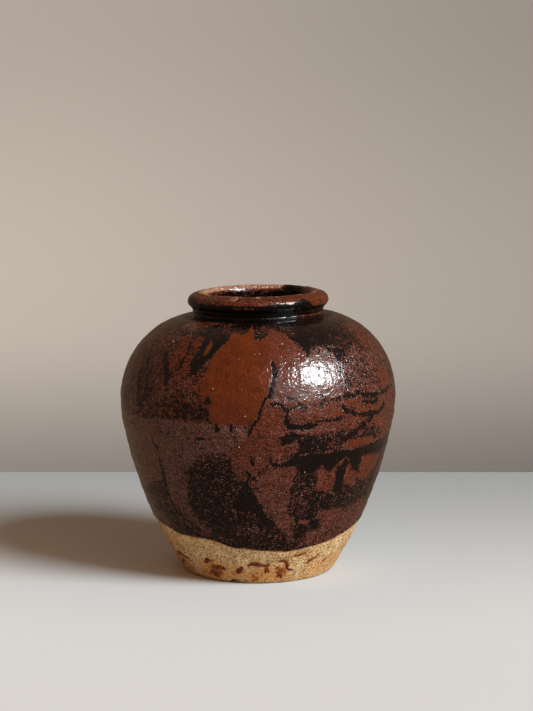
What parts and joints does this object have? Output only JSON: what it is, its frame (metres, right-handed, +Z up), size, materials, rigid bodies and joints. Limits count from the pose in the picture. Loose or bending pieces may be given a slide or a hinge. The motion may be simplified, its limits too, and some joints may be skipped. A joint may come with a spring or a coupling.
{
  "type": "martaban jar",
  "caption": "Round-shouldered stoneware storage jar with a short neck, rolled rim, brown and black glaze and a bare clay foot.",
  "frame": {"origin": "middle of the foot's flat underside, on the jar's axis", "axes": "+Z up along the jar's axis and out of the mouth; -Y is the side with the large orange patch and the foot splashes"},
  "size_m": [0.2956, 0.2956, 0.3],
  "materials": {
    "stoneware": "bare, sandy, matt, flecked with iron",
    "brown_black_glaze": "glossy iron glaze, brown to black, with a fine orange-peel skin",
    "lining_glaze": "glossy dark brown glaze",
    "splash_glaze": "thin rust-brown glaze, half gloss"
  },
  "bodies": {
    "root": {"floor_disc": "stoneware", "lower_wall": "stoneware", "belly_seam_coil": "stoneware", "shoulder_wall": "stoneware", "neck_ring": "stoneware", "neck_collar": "stoneware", "rolled_rim": "stoneware", "outer_glaze": "brown_black_glaze", "inner_glaze": "lining_glaze", "foot_splash_marks": "splash_glaze"}
  },
  "joints": []
}
